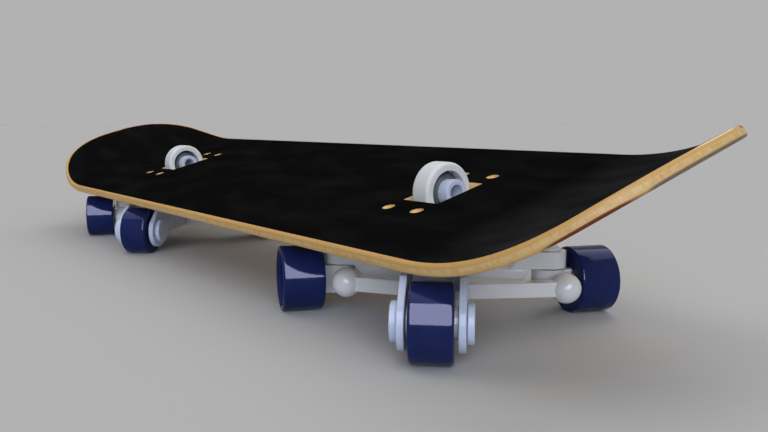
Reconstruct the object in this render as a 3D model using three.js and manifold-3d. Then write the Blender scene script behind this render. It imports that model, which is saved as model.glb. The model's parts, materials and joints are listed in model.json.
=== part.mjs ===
// A street board that leans and slides: a kicked wooden deck on two three-wheeled trucks.
// Each truck leans in a ring that stands up through a slot in the deck, swivels all the way
// round below it, and steers its two outer wheels through a pair of knuckles and a tie rod.
// Millimetres, +Z up, +X towards the tail. The board is shown leaning, its trucks swivelled.
import * as THREE from "three";
import { mergeVertices } from "three/addons/utils/BufferGeometryUtils.js";
import Module from "manifold-3d";

const wasm = await Module();
wasm.setup();

// Driving dimensions: how the board stands
const axisHeight = 80; // lean axis above the floor
const truckSpacing = 420; // lean and swivel centres, tail truck to nose truck
const leanAngle = 15; // degrees, the deck towards its left edge
const swivelAngle = -45.3; // degrees, both trucks about the vertical
const steerAngle = 22.1; // degrees, both outer wheels about their kingpins
const gap = 0.3; // between pieces that touch

// Driving dimensions: deck and grip tape
const deckHalfWidth = 97.75;
const deckTop = -0.1; // wood's upper face above the lean axis, square to the deck
const deckThickness = 6.7;
const edgeRound = { upper: 1.7, lower: 1.5 };
const grip = { inset: 3.2, thickness: 0.4, lift: 0.08 };
const tailEnd = { start: 61.2, tip: 194.2, fullness: 2.464, bendStart: 72.6, bendRadius: 174, kick: 31 };
const noseEnd = { start: 78, tip: 200.1, fullness: 2.428, bendStart: 73.6, bendRadius: 174.3, kick: 23.4 };
const boltSpan = { x: 28, y: 70 };
const boltHole = { radius: 4.6, depth: 2.8, shank: 2.6 };
const slot = { x: 17.2, y: 21.2 };

// Driving dimensions: lean joint
const leanOffset = -1.4; // middle of the ring and bolts from the middle of the slot
const ring = { radius: 19.9, half: 7.8, bore: 14.2 };
const hub = { radius: 9, half: 14.7, bore: 5.4 };
const leanBearing = { half: 6.6 };
const stem = { half: 11, top: 63.3 };
const plate = { x: 24, y: 44, thickness: 4 };
const saddle = { y: 8.6, top: -5.6, bottom: -15.5, start: 8.6, end: 23.5 };

// Driving dimensions: swivel joint
const turntable = { radius: 19, top: 52.5, bottom: 47 };
const spindle = { radius: 4.8, top: 58, bottom: 15, head: 8.8 };
const sleeve = { radius: 8.3, flange: 13.2 };
const post = { radius: 15.5, bottom: 23.8, top: 43.4, reach: 24 };

// Driving dimensions: beam, kingpins and knuckles
const kingpinReach = 70.2; // swivel axis to kingpin
const beam = { half: 11, armLow: 31.2, armTop: 42.4, midLow: 23.8, midTop: 31 };
const ramp = { low: 52.4, top: 44.7, slope: 0.73 }; // from the beam's middle up to its arms
const kingpin = { radius: 4, head: 7.4, crown: 3.2, rim: 0.6, rise: 5 };
const knuckle = { radius: 11.2, low: 11.8, high: 30.6, boss: 8.2 };
const armLength = 23.2; // kingpin to tie rod ball
const ballHeight = 21.8;
const ball = { radius: 9.7, stud: 5, neck: 2.2, socket: 5.3, mouthAngle: 54 };
const tie = { side: 9.4, bow: 16.5 };

// Driving dimensions: wheels and fork
const fine = 24; // sides of a wheel or ring
const wheel = { radius: 22.15, outerHalf: 13.8, centreHalf: 11.8, edge: 1.6 };
const dish = { radius: 19.4, depth: 2.6 }; // hollow in the outer face of an outer wheel
const axleHeight = wheel.radius * Math.cos(Math.PI / fine); // a wheel stands on one of its flats
const stubReach = 26.9; // kingpin to the middle of an outer wheel
const bearing = { radius: 9.6, bore: 4.3, half: 8.5 };
const forkReach = 112.3; // swivel axis to centre wheel
const leg = { inner: 13.8, outer: 17.95, end: 15.5, top: 45.5, notch: 30, low: 18 };
const lapSeat = 33.17; // where a fork leg laps over the beam
const legPlan = { lapEnd: 12, notchStart: 16, notchEnd: 44, lowStart: 49, lowEnd: 86, topEnd: 107 };
const bridge = { start: 47, slopeStart: 74, end: 84, low: 30, high: 36, top: 44.5 };
const cap = { radius: 11, thickness: 3.85, ease: 0.6, overlap: 2 };
const bush = { radius: 8.5, bore: 4.3 };

const degrees = THREE.MathUtils.degToRad;
const round = 16; // sides of a smaller round piece
const small = 12; // sides of a screw or a bolt hole
const far = 60; // beyond any piece, for cutters

// Finishes
const finishes = {
  maple: { color: 0xd2b078, roughness: 0.55, metalness: 0 },
  grip: { color: 0x161616, roughness: 0.95, metalness: 0 },
  plastic: { color: 0xc9cfdc, roughness: 0.4, metalness: 0 },
  urethane: { color: 0x1a2050, roughness: 0.15, metalness: 0 },
  steel: { color: 0x6b6f76, roughness: 0.3, metalness: 1 },
};

// A closed geometry as a solid that can be cut and joined
function solid(geometry) {
  const bare = new THREE.BufferGeometry();
  bare.setAttribute("position", geometry.getAttribute("position"));
  bare.setIndex(geometry.getIndex());
  const merged = mergeVertices(bare, 1e-4);
  const vertProperties = merged.getAttribute("position").array;
  const triVerts = new Uint32Array(merged.getIndex().array);
  return new wasm.Manifold(new wasm.Mesh({ numProp: 3, vertProperties, triVerts }));
}

// A solid as a flat-shaded geometry
function shell(body) {
  const { numProp, vertProperties, triVerts } = body.getMesh();
  const places = new Float32Array(triVerts.length * 3);
  triVerts.forEach((vertex, corner) => {
    for (let axis = 0; axis < 3; axis++) {
      places[3 * corner + axis] = vertProperties[numProp * vertex + axis];
    }
  });
  const geometry = new THREE.BufferGeometry();
  geometry.setAttribute("position", new THREE.BufferAttribute(places, 3));
  geometry.computeVertexNormals();
  return geometry;
}

function join(...geometries) {
  return shell(geometries.map(solid).reduce((whole, piece) => whole.add(piece)));
}

function cut(base, ...tools) {
  return shell(tools.map(solid).reduce((rest, tool) => rest.subtract(tool), solid(base)));
}

function common(first, second) {
  return shell(solid(first).intersect(solid(second)));
}

// A block between two corners
function block([x0, y0, z0], [x1, y1, z1]) {
  const box = new THREE.BoxGeometry(x1 - x0, y1 - y0, z1 - z0);
  return box.translate((x0 + x1) / 2, (y0 + y1) / 2, (z0 + z1) / 2);
}

// Round rods along each axis, between two places on it
function rodY(radius, from, to, sides = round) {
  return new THREE.CylinderGeometry(radius, radius, to - from, sides).translate(0, (from + to) / 2, 0);
}

function rodZ(radius, from, to, sides = round) {
  return rodY(radius, from, to, sides).rotateX(Math.PI / 2);
}

function rodX(radius, from, to, sides = round) {
  return rodY(radius, from, to, sides).rotateZ(-Math.PI / 2);
}

// A turned piece about Y, from [radius, height] pairs that go up its outside
function turned(pairs, sides = round) {
  const profile = pairs.map(([radius, height]) => new THREE.Vector2(radius, height));
  return new THREE.LatheGeometry(profile, sides);
}

// A plain tube about Y
function makeTube(radius, bore, from, to, sides = round) {
  return turned([[bore, from], [radius, from], [radius, to], [bore, to], [bore, from]], sides);
}

// A flat outline given a thickness along X, Y or Z
function extruded(points, depth) {
  const shape = new THREE.Shape(points.map(([u, v]) => new THREE.Vector2(u, v)));
  return new THREE.ExtrudeGeometry(shape, { depth, bevelEnabled: false });
}

function slabX(points, from, to) {
  const turn = new THREE.Matrix4().makeBasis(
    new THREE.Vector3(0, 1, 0),
    new THREE.Vector3(0, 0, 1),
    new THREE.Vector3(1, 0, 0),
  );
  return extruded(points, to - from).applyMatrix4(turn).translate(from, 0, 0);
}

function slabY(points, from, to) {
  return extruded(points, to - from).rotateX(Math.PI / 2).translate(0, to, 0);
}

// Points of an arc, from one angle to another in degrees
function arc([u, v], radius, from, to, steps) {
  return Array.from({ length: steps + 1 }, (_, step) => {
    const angle = degrees(from + ((to - from) * step) / steps);
    return [u + radius * Math.cos(angle), v + radius * Math.sin(angle)];
  });
}

const placed = new THREE.Group();

// A named piece in a group
function piece(group, name, geometry, finish) {
  const mesh = new THREE.Mesh(geometry, new THREE.MeshStandardMaterial(finishes[finish]));
  mesh.name = name;
  group.add(mesh);
  return mesh;
}

// Deck: a bent plank whose ends are rounded and kicked up
// Where a point lands, so far along the deck from its truck and so far above the wood's top
function bent(end, along, above) {
  const sweep = degrees(end.kick);
  const past = along - end.bendStart;
  if (past <= 0) {
    return [along, above];
  }
  const angle = Math.min(past / end.bendRadius, sweep);
  const straight = past - angle * end.bendRadius;
  const inner = end.bendRadius - above;
  return [
    end.bendStart + inner * Math.sin(angle) + straight * Math.cos(angle),
    end.bendRadius - inner * Math.cos(angle) + straight * Math.sin(angle),
  ];
}

// Half the outline of one layer: [x, halfWidth, z] from the nose's tip to the tail's
function layer(inset, above) {
  const steps = 16;
  const half = [];
  for (const [side, end] of [[-1, noseEnd], [1, tailEnd]]) {
    const run = [];
    for (let step = 0; step <= steps; step++) {
      const angle = (Math.PI / 2) * (step / steps);
      const along = Math.sin(angle) ** (2 / end.fullness);
      const across = step === steps ? 0 : Math.cos(angle) ** (2 / end.fullness);
      const reach = end.start + along * (end.tip - inset - end.start);
      const [x, z] = bent(end, reach, above);
      run.push([side * (truckSpacing / 2 + x), across * (deckHalfWidth - inset), z]);
    }
    half.push(...(side < 0 ? run.reverse() : run));
  }
  return half;
}

// A closed sheet built up from layers, lowest first
function planked(layers) {
  const places = [];
  const add = (...corners) => corners.forEach((corner) => places.push(...corner));
  const quad = (a, b, c, d) => add(a, b, c, a, c, d);
  const left = ([x, y, z]) => [x, -y, z];
  const last = layers[0].length - 1;
  for (let level = 1; level < layers.length; level++) {
    const low = layers[level - 1];
    const high = layers[level];
    for (let i = 0; i < last; i++) {
      quad(low[i + 1], low[i], high[i], high[i + 1]);
      quad(left(low[i]), left(low[i + 1]), left(high[i + 1]), left(high[i]));
    }
  }
  const under = layers[0];
  const upper = layers[layers.length - 1];
  for (let i = 0; i < last; i++) {
    quad(under[i], under[i + 1], left(under[i + 1]), left(under[i]));
    quad(left(upper[i]), left(upper[i + 1]), upper[i + 1], upper[i]);
  }
  const geometry = new THREE.BufferGeometry();
  geometry.setAttribute("position", new THREE.Float32BufferAttribute(places, 3));
  return mergeVertices(geometry, 1e-3);
}

// The four bolt places round a truck
function boltPlaces(truckX) {
  const places = [];
  for (const x of [-1, 1]) {
    for (const y of [-1, 1]) {
      places.push([truckX + leanOffset + (x * boltSpan.x) / 2, (y * boltSpan.y) / 2]);
    }
  }
  return places;
}

// What a truck takes out of the deck and grip tape: a slot and four countersunk holes
function deckCuts(truckX) {
  const cuts = [block([truckX - slot.x, -slot.y, -far], [truckX + slot.x, slot.y, far])];
  const seat = deckTop + grip.thickness - boltHole.depth;
  const cone = boltHole.radius - boltHole.shank;
  for (const [x, y] of boltPlaces(truckX)) {
    const hole = [
      [0, -far],
      [boltHole.shank, -far],
      [boltHole.shank, seat - cone],
      [boltHole.radius, seat],
      [boltHole.radius, far],
      [0, far],
    ];
    cuts.push(turned(hole, small).rotateX(Math.PI / 2).translate(x, y, 0));
  }
  return cuts;
}

const trucks = [
  { name: "tail", x: truckSpacing / 2 },
  { name: "nose", x: -truckSpacing / 2 },
];

const leaning = new THREE.Group();
leaning.position.z = axisHeight;
leaning.rotation.x = degrees(leanAngle);
placed.add(leaning);

// The wood's edge is rounded above and below
function makeDeck() {
  const underside = deckTop - deckThickness;
  const { upper, lower } = edgeRound;
  const shoulder = 1 - Math.SQRT1_2; // the middle of a rounded edge, as a share of its radius
  const wood = planked([
    layer(lower, underside),
    layer(lower * shoulder, underside + lower * shoulder),
    layer(0, underside + lower),
    layer(0, deckTop - upper),
    layer(upper * shoulder, deckTop - upper * shoulder),
    layer(upper, deckTop),
  ]);
  return cut(wood, ...trucks.flatMap(({ x }) => deckCuts(x)));
}

function makeGrip() {
  const tape = planked([
    layer(grip.inset, deckTop + grip.lift),
    layer(grip.inset, deckTop + grip.thickness),
  ]);
  return cut(tape, ...trucks.flatMap(({ x }) => deckCuts(x)));
}

// Baseplate about the hub's middle: a windowed flange under the deck, two saddles for the hub
function makeBaseplate() {
  const upper = deckTop - deckThickness - gap;
  const lower = upper - plate.thickness;
  const flange = block([-plate.x, -plate.y, lower], [plate.x, plate.y, upper]);
  const window = block([-leanOffset - slot.x, -slot.y, -far], [-leanOffset + slot.x, slot.y, far]);
  const saddles = [-1, 1].flatMap((side) => {
    const slotEnd = slot.x - side * leanOffset - gap;
    const foot = block([saddle.start, -saddle.y, saddle.bottom], [saddle.end, saddle.y, upper]);
    const horn = block([saddle.start, -saddle.y, saddle.bottom], [slotEnd, saddle.y, saddle.top]);
    return side < 0 ? [foot, horn].map((body) => body.rotateZ(Math.PI)) : [foot, horn];
  });
  const seat = rodX(hub.radius + gap, -hub.half - gap, hub.half + gap, fine);
  const holes = boltPlaces(-leanOffset).map(([x, y]) => rodZ(boltHole.shank, -far, far, small).translate(x, y, 0));
  return cut(join(cut(flange, window), ...saddles), seat, ...holes);
}

// Countersunk screw, its head sunk in the deck and its end in the baseplate
function makeDeckScrew() {
  const seat = deckTop + grip.thickness - boltHole.depth - gap;
  const end = deckTop - deckThickness - gap - plate.thickness;
  const head = boltHole.radius - gap;
  const shank = boltHole.shank - gap;
  const screw = [
    [0, end],
    [shank, end],
    [shank, seat - head + shank],
    [head, seat],
    [0, seat],
  ];
  return turned(screw, small).rotateX(Math.PI / 2);
}

// Hub: the tube that the ring turns on
function makeHub() {
  return makeTube(hub.radius, hub.bore, -hub.half, hub.half, fine).rotateZ(-Math.PI / 2);
}

// Lean housing: the ring, its stem and the turntable flange
function makeHousing() {
  const hoop = makeTube(ring.radius, ring.bore, -ring.half, ring.half, fine)
    .rotateZ(-Math.PI / 2)
    .translate(leanOffset, 0, axisHeight);
  const neck = block(
    [leanOffset - ring.half, -stem.half, turntable.top - 1],
    [leanOffset + ring.half, stem.half, stem.top],
  );
  const flange = rodZ(turntable.radius, turntable.bottom, turntable.top, fine);
  const thread = rodZ(spindle.radius + gap, 0, spindle.top + gap);
  return cut(join(hoop, neck, flange), thread);
}

// Lean bearing: sunk a little in the ring, round the hub
function makeLeanBearing() {
  return makeTube(ring.bore - gap, hub.radius + gap, -leanBearing.half, leanBearing.half, fine)
    .rotateZ(-Math.PI / 2)
    .translate(leanOffset, 0, axisHeight);
}

// Spindle: the bolt that the truck swivels on, threaded up into the housing
function makeSpindle() {
  const shank = rodZ(spindle.radius, spindle.bottom + 2, spindle.top);
  const head = rodZ(spindle.head, spindle.bottom, post.bottom - 1, 6);
  return join(shank, head);
}

// Swivel bearing: a sleeve in the post with a thrust flange on top
function makeSwivelBearing() {
  const bore = spindle.radius + gap;
  const section = [
    [bore, post.bottom],
    [sleeve.radius, post.bottom],
    [sleeve.radius, post.top + gap],
    [sleeve.flange, post.top + gap],
    [sleeve.flange, turntable.bottom - gap],
    [bore, turntable.bottom - gap],
    [bore, post.bottom],
  ];
  return turned(section).rotateX(Math.PI / 2);
}

// Beam: arms held high over the knuckles, a low middle and a post for the swivel bearing
function makeBeam() {
  const end = kingpinReach + beam.half + 1;
  const right = [
    [ramp.low, beam.midLow],
    [ramp.low + ramp.slope * (beam.armLow - beam.midLow), beam.armLow],
    [end, beam.armLow],
    [end, beam.armTop],
    [ramp.top + ramp.slope * (beam.armTop - beam.midTop), beam.armTop],
    [ramp.top, beam.midTop],
  ];
  const left = right.map(([y, z]) => [-y, z]).reverse();
  const front = slabX([...right, ...left], -beam.half, beam.half);
  const plan = [
    ...arc([kingpinReach, 0], beam.half, -90, 90, 8),
    ...arc([-kingpinReach, 0], beam.half, 90, 270, 8),
  ];
  const bar = common(front, extruded(plan, far).rotateZ(Math.PI / 2));
  const centre = rodZ(post.radius, post.bottom, post.top);
  const mount = block([-beam.half, -post.reach, post.bottom], [beam.half, post.reach, post.top]);
  const bore = rodZ(sleeve.radius + gap, 0, far);
  const pins = [-1, 1].map((side) => rodZ(kingpin.radius + gap, 0, far).translate(0, side * kingpinReach, 0));
  const slots = [-1, 1].map((side) => {
    const middle = (side * (leg.inner + leg.outer)) / 2;
    const halfWidth = (leg.outer - leg.inner) / 2 + gap;
    return block([-far, middle - halfWidth, lapSeat - gap], [far, middle + halfWidth, far]);
  });
  return cut(join(bar, centre, mount), bore, ...pins, ...slots);
}

// Kingpin: a pin with a coned head, down through the beam into the knuckle
function makeKingpin() {
  const seat = beam.armTop + gap;
  const pin = [
    [0, knuckle.low + 2],
    [kingpin.radius, knuckle.low + 2],
    [kingpin.radius, seat],
    [kingpin.head, seat],
    [kingpin.head, seat + kingpin.rim],
    [kingpin.crown, seat + kingpin.rise],
    [0, seat + kingpin.rise],
  ];
  return turned(pin).rotateX(Math.PI / 2);
}

// Knuckle about its kingpin, with a boss and the wheel's stub on the given side
function makeKnuckle(side) {
  const face = stubReach - wheel.outerHalf - 0.4;
  const tip = stubReach + bearing.half - 1;
  const barrel = rodZ(knuckle.radius, knuckle.low, knuckle.high, fine);
  const boss = block([-knuckle.boss, 0, knuckle.low], [knuckle.boss, face, knuckle.high]);
  const stub = rodY(bearing.bore - gap, 0, tip).translate(0, 0, axleHeight);
  const arm = join(boss, stub);
  if (side < 0) {
    arm.rotateZ(Math.PI);
  }
  const pinHole = rodZ(kingpin.radius + gap, 0, far);
  const studHole = rodX(ball.neck + gap, 0, far, small).translate(0, 0, ballHeight);
  return cut(join(barrel, arm), pinHole, studHole);
}

// Ball stud: a ball on a neck, screwed into the knuckle
function makeBallStud() {
  const root = kingpin.radius + gap + 0.4;
  const neck = rodX(ball.neck, root, armLength - ball.stud / 2, small);
  const knob = new THREE.SphereGeometry(ball.stud, small, 6).translate(armLength, 0, 0);
  return join(neck, knob).translate(0, 0, ballHeight);
}

// Tie rod: a bowed square bar between two round ends that snap over the ball studs
function makeTieRod() {
  const reach = kingpinReach;
  const side = tie.side / 2;
  const spread = side / Math.cos(Math.atan(tie.bow / reach));
  const outline = [
    [-spread, -reach],
    [spread, -reach],
    [tie.bow + spread, 0],
    [spread, reach],
    [-spread, reach],
    [tie.bow - spread, 0],
  ];
  const bar = extruded(outline, tie.side).translate(0, 0, -side);
  const ends = [-1, 1].map((end) => new THREE.SphereGeometry(ball.radius, round, 10).translate(0, end * reach, 0));
  const mouthReach = ball.radius + 1;
  const mouthRadius = mouthReach * Math.tan(degrees(ball.mouthAngle));
  const hollows = [-1, 1].flatMap((end) => {
    const socket = new THREE.SphereGeometry(ball.socket, small, 6).translate(0, end * reach, 0);
    const mouth = new THREE.CylinderGeometry(0.2, mouthRadius, mouthReach, small)
      .translate(0, -mouthReach / 2, 0)
      .rotateZ(-Math.PI / 2)
      .translate(0, end * reach, 0);
    return [socket, mouth];
  });
  return cut(join(bar, ...ends), ...hollows);
}

// The rounded rim of a wheel, from its left face to its right
function tread(half) {
  return [
    [wheel.radius - wheel.edge, -half],
    [wheel.radius, -half + wheel.edge],
    [wheel.radius, half - wheel.edge],
    [wheel.radius - wheel.edge, half],
  ];
}

// Outer wheel: closed outside, with a blind bore for its bearing
function makeOuterWheel(side) {
  const half = wheel.outerHalf;
  const bore = bearing.radius + gap;
  const floor = bearing.half + gap;
  const face = half - dish.depth;
  const inside = [[0, floor], [bore, floor], [bore, -half]];
  const outside = [[dish.radius, half], [dish.radius, face], [0, face]];
  const profile = [...inside, ...tread(half), ...outside];
  const body = turned(profile, fine).rotateY(Math.PI / fine);
  return side < 0 ? body.rotateX(Math.PI) : body;
}

function makeCentreWheel() {
  const half = wheel.centreHalf;
  const bore = bush.radius + gap;
  const profile = [[bore, -half], ...tread(half), [bore, half], [bore, -half]];
  return turned(profile, fine).rotateY(Math.PI / fine);
}

// Fork leg: a round-ended plate from the beam to the centre wheel's axle
function makeForkLeg(side) {
  const outline = [
    [-beam.half, lapSeat],
    [legPlan.lapEnd, lapSeat],
    [legPlan.notchStart, leg.notch],
    [legPlan.notchEnd, leg.notch],
    [legPlan.lowStart, leg.low],
    [legPlan.lowEnd, leg.low],
    ...arc([forkReach, axleHeight], leg.end, -125, 36, 10),
    [legPlan.topEnd, leg.top],
    [-beam.half, leg.top],
  ];
  const axleHole = rodY(bush.bore, -far, far).translate(forkReach, 0, axleHeight);
  const from = side < 0 ? -leg.outer : leg.inner;
  return cut(slabY(outline, from, from + leg.outer - leg.inner), axleHole);
}

// Fork bridge: the block that ties the legs together behind the centre wheel
function makeForkBridge() {
  const half = leg.inner - gap;
  const outline = [
    [bridge.start, bridge.low],
    [bridge.slopeStart, bridge.low],
    [bridge.end, bridge.high],
    [bridge.end, bridge.top],
    [bridge.start, bridge.top],
  ];
  const wheelWell = rodY(wheel.radius + 3, -far, far, fine).translate(forkReach, 0, axleHeight);
  return cut(slabY(outline, -half, half), wheelWell);
}

// Axle with its round head on the left, and the cap on its other end
function makeAxle() {
  const seat = leg.outer + gap;
  const end = seat + cap.thickness;
  const profile = [
    [0, -end],
    [cap.radius - cap.ease, -end],
    [cap.radius, -end + cap.ease],
    [cap.radius, -seat],
    [bush.bore - gap, -seat],
    [bush.bore - gap, seat + cap.overlap],
    [0, seat + cap.overlap],
  ];
  return turned(profile);
}

function makeAxleCap() {
  const seat = leg.outer + gap;
  const end = seat + cap.thickness;
  const profile = [
    [0, seat + cap.overlap + gap],
    [bush.bore, seat + cap.overlap + gap],
    [bush.bore, seat],
    [cap.radius, seat],
    [cap.radius, end - cap.ease],
    [cap.radius - cap.ease, end],
    [0, end],
  ];
  return turned(profile);
}

// One truck, from the ring that leans in the deck down to its three wheels
function addTruck({ name, x }) {
  const label = (word) => name + "_" + word;

  const deckSide = new THREE.Group();
  deckSide.position.x = x;
  leaning.add(deckSide);
  piece(deckSide, label("baseplate"), makeBaseplate(), "plastic").position.x = leanOffset;
  piece(deckSide, label("lean_hub"), makeHub(), "plastic").position.x = leanOffset;
  boltPlaces(0).forEach(([screwX, screwY], index) => {
    const screw = piece(deckSide, label("deck_screw_" + (index + 1)), makeDeckScrew(), "steel");
    screw.position.set(screwX, screwY, 0);
  });

  const cradle = new THREE.Group();
  cradle.position.x = x;
  placed.add(cradle);
  piece(cradle, label("lean_housing"), makeHousing(), "plastic");
  piece(cradle, label("lean_bearing"), makeLeanBearing(), "steel");
  piece(cradle, label("swivel_spindle"), makeSpindle(), "steel");

  const truck = new THREE.Group();
  truck.rotation.z = degrees(swivelAngle);
  cradle.add(truck);
  piece(truck, label("swivel_bearing"), makeSwivelBearing(), "steel");
  piece(truck, label("beam"), makeBeam(), "plastic");
  piece(truck, label("fork_leg_left"), makeForkLeg(-1), "plastic");
  piece(truck, label("fork_leg_right"), makeForkLeg(1), "plastic");
  piece(truck, label("fork_bridge"), makeForkBridge(), "plastic");

  const axle = new THREE.Group();
  axle.position.set(forkReach, 0, axleHeight);
  truck.add(axle);
  piece(axle, label("centre_axle"), makeAxle(), "plastic");
  piece(axle, label("centre_axle_cap"), makeAxleCap(), "plastic");
  piece(axle, label("centre_bush"), makeTube(bush.radius, bush.bore, -leg.inner + gap, leg.inner - gap), "plastic");
  piece(axle, label("centre_wheel"), makeCentreWheel(), "urethane");

  const steer = degrees(steerAngle);
  for (const [side, word] of [[-1, "left"], [1, "right"]]) {
    const pin = piece(truck, label("kingpin_" + word), makeKingpin(), "plastic");
    pin.position.y = side * kingpinReach;
    const turning = new THREE.Group();
    turning.position.y = side * kingpinReach;
    turning.rotation.z = steer;
    truck.add(turning);
    piece(turning, label("knuckle_" + word), makeKnuckle(side), "plastic");
    piece(turning, label("ball_stud_" + word), makeBallStud(), "steel");
    const stub = new THREE.Group();
    stub.position.set(0, side * stubReach, axleHeight);
    turning.add(stub);
    const tube = makeTube(bearing.radius, bearing.bore, -bearing.half, bearing.half);
    piece(stub, label("wheel_bearing_" + word), tube, "steel");
    piece(stub, label("wheel_" + word), makeOuterWheel(side), "urethane");
  }

  const rod = piece(truck, label("tie_rod"), makeTieRod(), "plastic");
  rod.position.set(armLength * Math.cos(steer), armLength * Math.sin(steer), ballHeight);
}

piece(leaning, "deck", makeDeck(), "maple");
piece(leaning, "grip_tape", makeGrip(), "grip");
trucks.forEach(addTruck);

// The origin lies on the floor below the middle of the whole board
const whole = new THREE.Box3().setFromObject(placed, true);
const middle = whole.getCenter(new THREE.Vector3());
placed.position.set(-middle.x, -middle.y, -whole.min.z);

export default placed;
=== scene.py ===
import json
from math import acos, atan, cos, degrees, pi, radians, sin, tan

import bmesh
import bpy
from mathutils import Matrix, Vector


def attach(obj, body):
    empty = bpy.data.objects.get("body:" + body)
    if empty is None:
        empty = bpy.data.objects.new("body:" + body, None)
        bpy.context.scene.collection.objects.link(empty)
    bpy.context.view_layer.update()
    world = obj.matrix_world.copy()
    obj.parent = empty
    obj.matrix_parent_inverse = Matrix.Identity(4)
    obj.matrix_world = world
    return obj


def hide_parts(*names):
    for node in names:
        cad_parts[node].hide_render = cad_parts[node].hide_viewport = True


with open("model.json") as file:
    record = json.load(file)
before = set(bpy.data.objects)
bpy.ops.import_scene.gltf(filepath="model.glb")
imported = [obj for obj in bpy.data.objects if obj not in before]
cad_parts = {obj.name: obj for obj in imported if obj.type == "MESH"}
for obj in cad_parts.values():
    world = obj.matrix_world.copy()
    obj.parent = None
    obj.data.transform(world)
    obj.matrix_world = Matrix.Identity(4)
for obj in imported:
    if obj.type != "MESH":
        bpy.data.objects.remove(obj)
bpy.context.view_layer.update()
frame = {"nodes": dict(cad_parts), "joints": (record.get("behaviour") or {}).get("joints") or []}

joints = {joint["name"]: joint for joint in frame["joints"]}
trucks = ("tail", "nose")

# how the board stands: angles in degrees, heights and the sizes of all pieces in millimetres
stance = {"lean": 15, "swivel": -45.3, "steer": 22.1, "axisHeight": 80, "axleHeight": 21.96}


# places in the shared frame, for pieces that are modelled in millimetres about their own middle

def spot(jointName):
    return Vector(joints[jointName]["pos_m"])


def truckFloor(truck):
    place = spot(truck + "_lean")
    return Matrix.Translation((place.x, place.y, 0))


def deckPlace():
    middle = (spot("tail_lean") + spot("nose_lean")) / 2
    return Matrix.Translation(middle) @ Matrix.Rotation(radians(stance["lean"]), 4, "X")


def hubPlace(truck):
    return Matrix.Translation(spot(truck + "_lean")) @ Matrix.Rotation(radians(stance["lean"]), 4, "X")


def turnedPlace(truck):
    return truckFloor(truck) @ Matrix.Rotation(radians(stance["swivel"]), 4, "Z")


def moved(x, y, z):
    return Matrix.Translation((x / 1000, y / 1000, z / 1000))


alongX = Matrix.Rotation(pi / 2, 4, "Y")  # a piece turned about Z, laid along X
alongY = Matrix.Rotation(-pi / 2, 4, "X")  # and along Y, its top towards +Y


# along Y as well, with its top away from the truck's middle
def outward(side):
    return Matrix.Rotation(-side * pi / 2, 4, "X")


# shapes, each a new bmesh

# turns [radius, height] pairs once round Z
def turned(profile, steps, closed=False):
    shape = bmesh.new()
    verts = [shape.verts.new((radius, 0, height)) for radius, height in profile]
    pairs = list(zip(verts, verts[1:])) + ([(verts[-1], verts[0])] if closed else [])
    edges = [shape.edges.new(pair) for pair in pairs]
    bmesh.ops.spin(
        shape, geom=verts + edges, cent=(0, 0, 0), axis=(0, 0, 1), angle=2 * pi,
        steps=steps, use_merge=True, use_duplicate=False,
    )
    bmesh.ops.remove_doubles(shape, verts=shape.verts, dist=1e-4)
    bmesh.ops.recalc_face_normals(shape, faces=shape.faces)
    return shape


def tube(radius, bore, low, high, steps):
    return turned([(bore, low), (radius, low), (radius, high), (bore, high)], steps, closed=True)


def rod(radius, low, high, steps=48):
    return turned([(0, low), (radius, low), (radius, high), (0, high)], steps)


def block(low, high):
    shape = bmesh.new()
    bmesh.ops.create_cube(shape, size=1)
    size = [b - a for a, b in zip(low, high)]
    middle = [(a + b) / 2 for a, b in zip(low, high)]
    bmesh.ops.scale(shape, vec=size, verts=shape.verts)
    bmesh.ops.translate(shape, vec=middle, verts=shape.verts)
    return shape


# gives a flat outline in XY a thickness along Z
def slab(outline, low, high):
    shape = bmesh.new()
    face = shape.faces.new([shape.verts.new((x, y, low)) for x, y in outline])
    grown = bmesh.ops.extrude_face_region(shape, geom=[face])
    top = [item for item in grown["geom"] if isinstance(item, bmesh.types.BMVert)]
    bmesh.ops.translate(shape, vec=(0, 0, high - low), verts=top)
    bmesh.ops.recalc_face_normals(shape, faces=shape.faces)
    return shape


def laid(shape, matrix):
    bmesh.ops.transform(shape, matrix=matrix, verts=shape.verts)
    return shape


def arc(middle, radius, start, end, steps):
    turns = [radians(start + (end - start) * step / steps) for step in range(steps + 1)]
    return [(middle[0] + radius * cos(turn), middle[1] + radius * sin(turn)) for turn in turns]


# rounds the edges that are sharper than an angle, all of them or those that where() picks
def soften(shape, width, segments=3, angle=40, where=None):
    sharp = []
    for edge in shape.edges:
        middle = (edge.verts[0].co + edge.verts[1].co) / 2
        if edge.is_manifold and edge.calc_face_angle(0) > radians(angle) and (where is None or where(middle)):
            sharp.append(edge)
    bmesh.ops.bevel(
        shape, geom=sharp, offset=width, offset_type="OFFSET", segments=segments, profile=0.5,
        affect="EDGES", material=-1, clamp_overlap=True,
    )
    return shape


def newObject(name, shape):
    mesh = bpy.data.meshes.new(name)
    shape.to_mesh(mesh)
    shape.free()
    made = bpy.data.objects.new(name, mesh)
    bpy.context.scene.collection.objects.link(made)
    return made


def combined(base, tool, operation):
    first, second = newObject("base", base), newObject("tool", tool)
    modifier = first.modifiers.new("combine", "BOOLEAN")
    modifier.operation = operation
    modifier.solver = "EXACT"
    modifier.object = second
    result = bmesh.new()
    result.from_object(first, bpy.context.evaluated_depsgraph_get())
    for scratch in (first, second):
        mesh = scratch.data
        bpy.data.objects.remove(scratch)
        bpy.data.meshes.remove(mesh)
    bmesh.ops.remove_doubles(result, verts=result.verts, dist=1e-3)
    return result


def joined(first, *others):
    for other in others:
        first = combined(first, other, "UNION")
    return first


def carved(base, *tools):
    for tool in tools:
        base = combined(base, tool, "DIFFERENCE")
    return base


sharpAngle = 32  # degrees, from which an edge is shown sharp


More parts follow.
